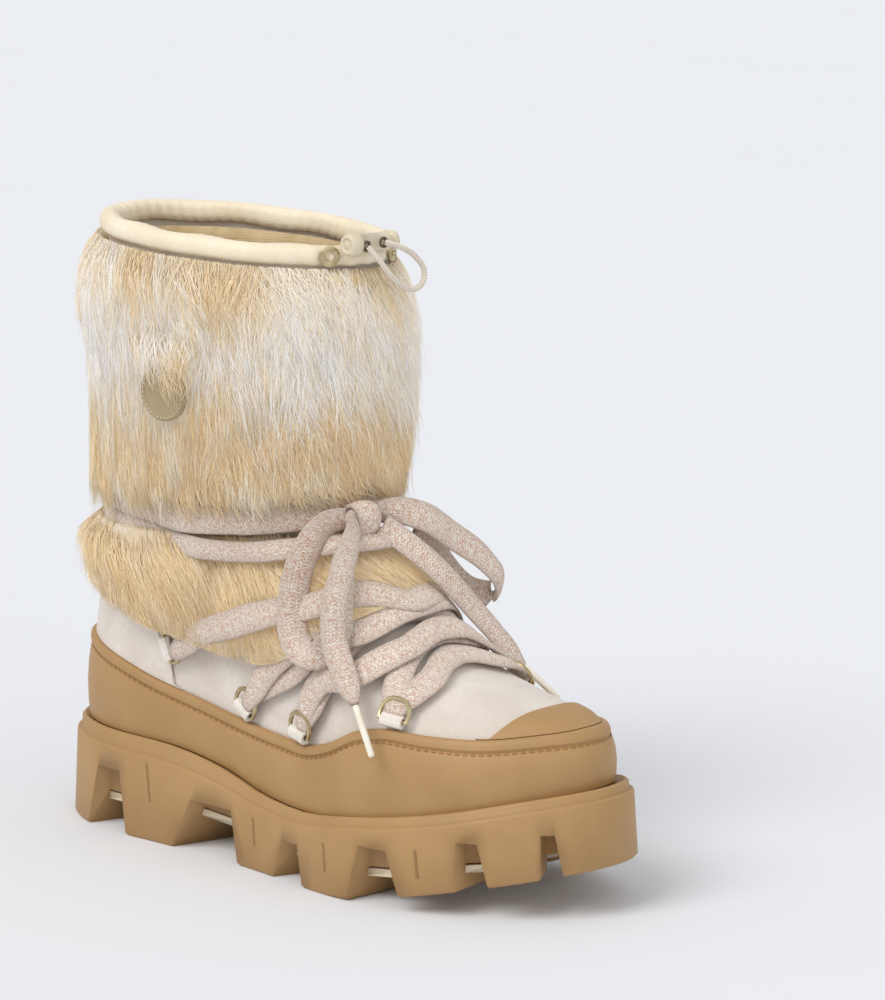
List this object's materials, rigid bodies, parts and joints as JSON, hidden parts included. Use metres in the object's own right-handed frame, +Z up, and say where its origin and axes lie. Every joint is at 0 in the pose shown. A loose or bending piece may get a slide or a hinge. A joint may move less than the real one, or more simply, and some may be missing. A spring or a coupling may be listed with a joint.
{
  "type": "fur apres ski boot",
  "caption": "Short winter boot with a fur shaft, suede vamp, laces through rings, a drawcord collar and a thick lugged rubber sole.",
  "frame": {"origin": "on the floor under the middle of the boot's box, measured without its free laces", "axes": "+X towards the toe, +Y towards the inner (medial) side of the foot, +Z up"},
  "size_m": [0.29, 0.1214, 0.2619],
  "materials": {
    "honey_rubber": "satin",
    "cream_rubber": "satin",
    "suede": "matt, brushed nap",
    "lining": "matt",
    "cream_leather": "soft satin",
    "fur": "long hair",
    "knit": "woolly knit",
    "pale_metal": "brushed",
    "cream_plastic": "satin",
    "cord": "matt"
  },
  "bodies": {
    "root": {"aglet_inner": "cream_plastic", "aglet_outer": "cream_plastic", "ankle_wrap": "knit", "badge": "cream_leather", "collar": "cream_leather", "cord_lock": "cream_plastic", "drawcord_loop": "cord", "eyelet_inner": "pale_metal", "eyelet_outer": "pale_metal", "fur_ankle": "fur", "fur_shaft": "fur", "heel_counter": "suede", "insole": "lining", "lace_bar": "knit", "lace_end_inner": "knit", "lace_end_outer": "knit", "lace_knot": "knit", "lace_loop_inner": "knit", "lace_loop_outer": "knit", "lace_over_1": "knit", "lace_over_2": "knit", "lace_ring_inner_1": "pale_metal", "lace_ring_inner_2": "pale_metal", "lace_ring_inner_3": "pale_metal", "lace_ring_inner_4": "pale_metal", "lace_ring_outer_1": "pale_metal", "lace_ring_outer_2": "pale_metal", "lace_ring_outer_3": "pale_metal", "lace_ring_outer_4": "pale_metal", "lace_under_1": "knit", "lace_under_2": "knit", "outsole": "honey_rubber", "rand": "honey_rubber", "rear_stud": "pale_metal", "ring_tab_inner_1": "suede", "ring_tab_inner_2": "suede", "ring_tab_inner_3": "suede", "ring_tab_inner_4": "suede", "ring_tab_outer_1": "suede", "ring_tab_outer_2": "suede", "ring_tab_outer_3": "suede", "ring_tab_outer_4": "suede", "toe_cap": "honey_rubber", "tread_plate": "cream_rubber", "upper": "suede"}
  },
  "joints": []
}
